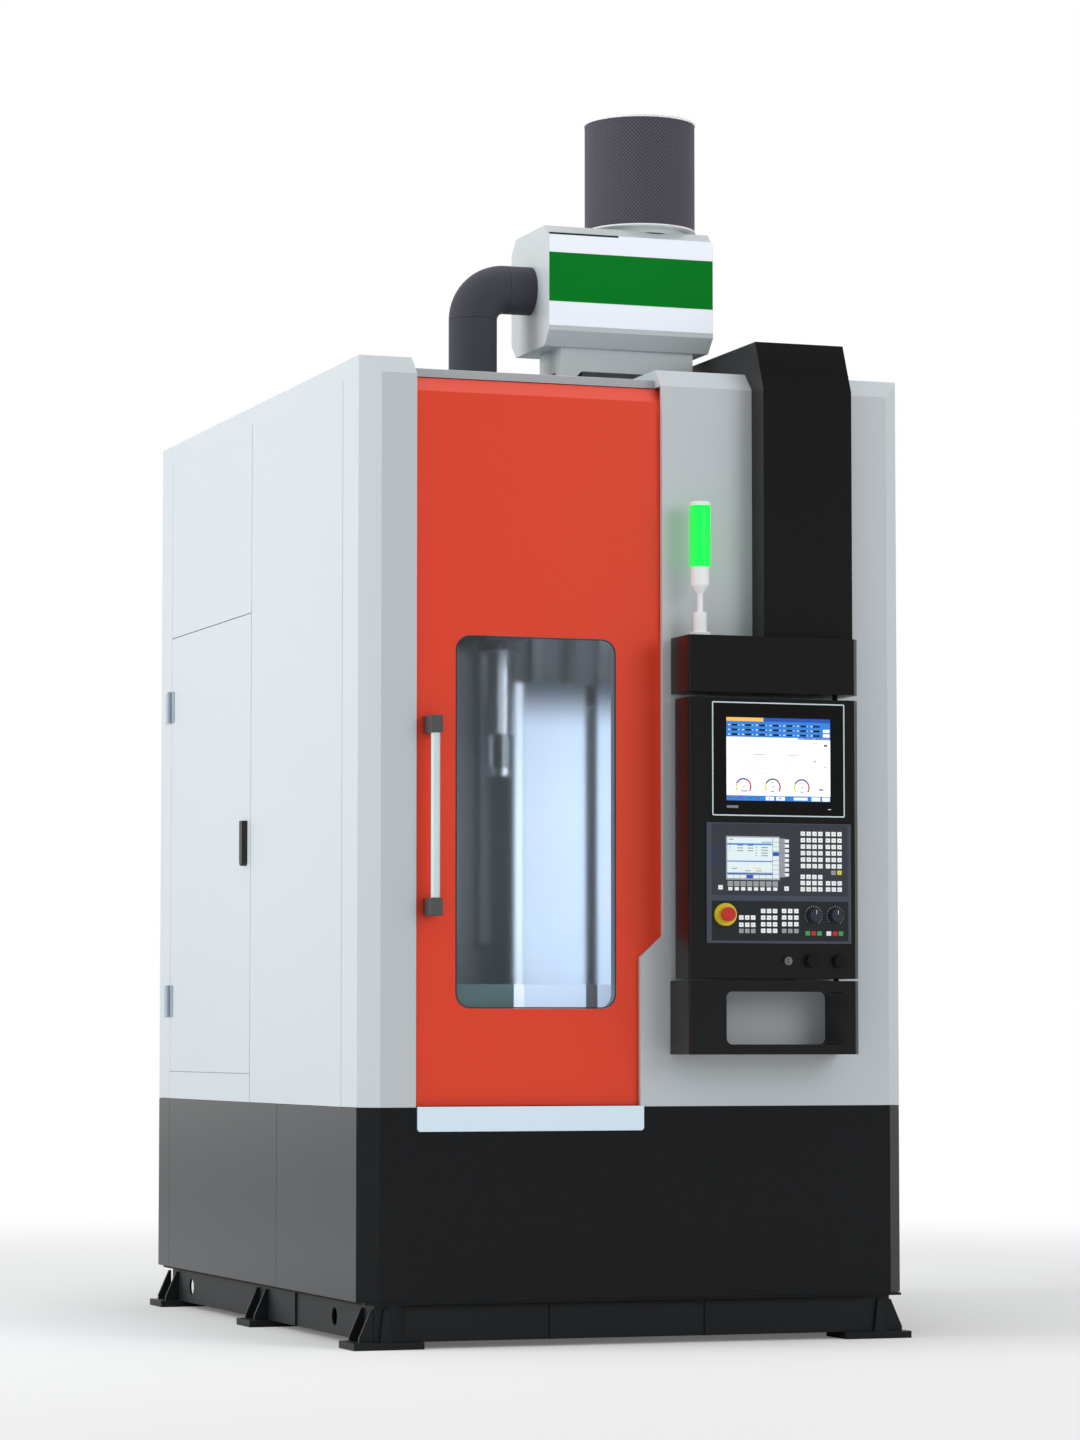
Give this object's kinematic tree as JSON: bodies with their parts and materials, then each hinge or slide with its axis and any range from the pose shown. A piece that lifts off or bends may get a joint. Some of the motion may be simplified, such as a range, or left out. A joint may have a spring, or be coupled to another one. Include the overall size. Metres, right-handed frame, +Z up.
{
  "type": "induction quenching machine",
  "caption": "Tall enclosed vertical induction quenching machine: sliding windowed front door, swivelling operator station, side cabinet door and a roof-mounted oil-mist purifier.",
  "frame": {"origin": "on the floor, in the middle of the four corner anchor bolts", "axes": "+Z up, +X to the operator's right when facing the machine, +Y from the front to the rear"},
  "size_m": [1.838, 2.719, 3.929],
  "materials": {
    "base_paint": "satin",
    "skirt_paint": "satin",
    "body_paint": "fine texture",
    "front_paint": "fine texture",
    "red_paint": "satin",
    "sill_paint": "satin",
    "steel": "satin",
    "machine_paint": "satin",
    "machine_casting": "painted",
    "tank_paint": "satin",
    "motor_paint": "satin",
    "cabinet_paint": "fine texture",
    "station_black": "gloss",
    "purifier_paint": "satin",
    "filter_mesh": "matt mesh",
    "duct_paint": "satin",
    "aluminium": "satin",
    "copper": "satin",
    "chrome": "polished",
    "window_glass": "frosted",
    "green_lens": "translucent",
    "black_plastic": "satin",
    "panel_grey": "painted",
    "key_film": "matt",
    "white_plastic": "gloss",
    "green_plastic": "gloss",
    "red_plastic": "gloss"
  },
  "bodies": {
    "machine": {"base_frame": "base_paint", "feet": "base_paint", "lower_apron": "skirt_paint", "lower_side_panels": "skirt_paint", "left_corner_post": "body_paint", "left_side_panels": "body_paint", "side_door_frame": "body_paint", "right_side_panels": "body_paint", "rear_panels": "body_paint", "roof_panel": "front_paint", "front_header": "front_paint", "right_cover": "front_paint", "door_sill": "sill_paint", "door_rails": "steel", "chamber_walls": "machine_paint", "quench_tank": "tank_paint", "machine_column": "machine_casting", "column_guard": "steel", "guide_rails": "steel", "axis_motors": "motor_paint", "spindle_housing": "machine_casting", "electrical_cabinet": "cabinet_paint", "duct_cover": "station_black", "visor": "station_black", "lower_box": "station_black", "signal_tower": "white_plastic", "tower_lens": "green_lens", "purifier_housing": "purifier_paint", "mist_filter": "filter_mesh", "elbow_duct": "duct_paint"},
    "front_door": {"front_door_panel": "red_paint", "door_window": "window_glass", "door_handle": "aluminium", "door_hangers": "steel"},
    "side_door": {"side_door": "body_paint", "side_door_hinges": "steel"},
    "side_latch": {"latch_handle": "black_plastic"},
    "station": {"station_body": "station_black", "display_unit": "black_plastic", "cnc_panel": "panel_grey", "panel_keys": "key_film"},
    "estop_button": {"estop_button": "red_plastic"},
    "left_override_knob": {"left_override_knob": "black_plastic"},
    "right_override_knob": {"right_override_knob": "black_plastic"},
    "key_switch": {"key_switch": "chrome"},
    "left_port_cap": {"left_port_cap": "black_plastic"},
    "right_port_cap": {"right_port_cap": "black_plastic"},
    "cycle_start_key": {"cycle_start_key": "green_plastic"},
    "cycle_stop_key": {"cycle_stop_key": "red_plastic"},
    "coolant_key": {"coolant_key": "green_plastic"},
    "reset_key": {"reset_key": "white_plastic"},
    "feed_stop_key": {"feed_stop_key": "red_plastic"},
    "feed_start_key": {"feed_start_key": "green_plastic"},
    "inductor": {"inductor_carriage": "aluminium", "inductor_coil": "copper"},
    "tailstock": {"tailstock_carriage": "machine_casting"},
    "top_centre": {"top_centre": "steel"},
    "ball_screw": {"ball_screw": "steel"},
    "work_spindle": {"work_spindle": "steel"},
    "fan_rotor": {"fan_rotor": "aluminium"}
  },
  "joints": [
    {"name": "front_door_slide", "type": "slide", "parent": "machine", "child": "front_door", "axis": [1, 0, 0], "range_m": [0, 0.68]},
    {"name": "side_door_hinge", "type": "hinge", "parent": "machine", "child": "side_door", "pos_m": [-0.909, 1.0569, 1.591], "axis": [0, 0, -1], "range_deg": [0, 110]},
    {"name": "latch_turn", "type": "hinge", "parent": "side_door", "child": "side_latch", "pos_m": [-0.901, 0.0695, 1.531], "axis": [-1, 0, 0], "range_deg": [0, 90]},
    {"name": "station_swivel", "type": "hinge", "parent": "machine", "child": "station", "pos_m": [0.63, -1.33, 1.5625], "axis": [0, 0, 1], "range_deg": [0, 90]},
    {"name": "estop_push", "type": "slide", "parent": "station", "child": "estop_button", "axis": [0, 1, 0], "range_m": [0, 0.005], "stiffness_N_per_m": 800},
    {"name": "left_override_turn", "type": "hinge", "parent": "station", "child": "left_override_knob", "pos_m": [0.51097, -1.434, 1.32403], "axis": [0, -1, 0], "range_deg": [-130, 130]},
    {"name": "right_override_turn", "type": "hinge", "parent": "station", "child": "right_override_knob", "pos_m": [0.5839, -1.434, 1.32403], "axis": [0, -1, 0], "range_deg": [-130, 130]},
    {"name": "key_switch_turn", "type": "hinge", "parent": "station", "child": "key_switch", "pos_m": [0.42305, -1.429, 1.182], "axis": [0, 1, 0], "range_deg": [0, 90]},
    {"name": "left_cap_turn", "type": "hinge", "parent": "station", "child": "left_port_cap", "pos_m": [0.503, -1.429, 1.182], "axis": [0, -1, 0], "range_deg": [0, 90]},
    {"name": "right_cap_turn", "type": "hinge", "parent": "station", "child": "right_port_cap", "pos_m": [0.59603, -1.429, 1.182], "axis": [0, -1, 0], "range_deg": [0, 90]},
    {"name": "cycle_start_key_push", "type": "slide", "parent": "station", "child": "cycle_start_key", "axis": [0, 1, 0], "range_m": [0, 0.002], "stiffness_N_per_m": 400},
    {"name": "cycle_stop_key_push", "type": "slide", "parent": "station", "child": "cycle_stop_key", "axis": [0, 1, 0], "range_m": [0, 0.002], "stiffness_N_per_m": 400},
    {"name": "coolant_key_push", "type": "slide", "parent": "station", "child": "coolant_key", "axis": [0, 1, 0], "range_m": [0, 0.002], "stiffness_N_per_m": 400},
    {"name": "reset_key_push", "type": "slide", "parent": "station", "child": "reset_key", "axis": [0, 1, 0], "range_m": [0, 0.002], "stiffness_N_per_m": 400},
    {"name": "feed_stop_key_push", "type": "slide", "parent": "station", "child": "feed_stop_key", "axis": [0, 1, 0], "range_m": [0, 0.002], "stiffness_N_per_m": 400},
    {"name": "feed_start_key_push", "type": "slide", "parent": "station", "child": "feed_start_key", "axis": [0, 1, 0], "range_m": [0, 0.002], "stiffness_N_per_m": 400},
    {"name": "inductor_travel", "type": "slide", "parent": "machine", "child": "inductor", "axis": [0, 0, 1], "range_m": [0, 0.65]},
    {"name": "tailstock_travel", "type": "slide", "parent": "machine", "child": "tailstock", "axis": [0, 0, 1], "range_m": [-0.4, 0.05]},
    {"name": "top_centre_turn", "type": "hinge", "parent": "tailstock", "child": "top_centre", "pos_m": [-0.32, -0.85, 2.172], "axis": [0, 0, 1], "continuous": true},
    {"name": "ball_screw_turn", "type": "hinge", "parent": "machine", "child": "ball_screw", "pos_m": [0.035, -0.515, 1.69], "axis": [0, 0, 1], "continuous": true},
    {"name": "work_spindle_turn", "type": "hinge", "parent": "machine", "child": "work_spindle", "pos_m": [-0.32, -0.85, 0.85], "axis": [0, 0, 1], "continuous": true},
    {"name": "fan_turn", "type": "hinge", "parent": "machine", "child": "fan_rotor", "pos_m": [0.207, -0.715, 3.32], "axis": [0, 0, 1], "continuous": true}
  ],
  "couplings": [
    {"joint": "ball_screw_turn", "follows": "inductor_travel", "rad_per_m": 314.16}
  ]
}
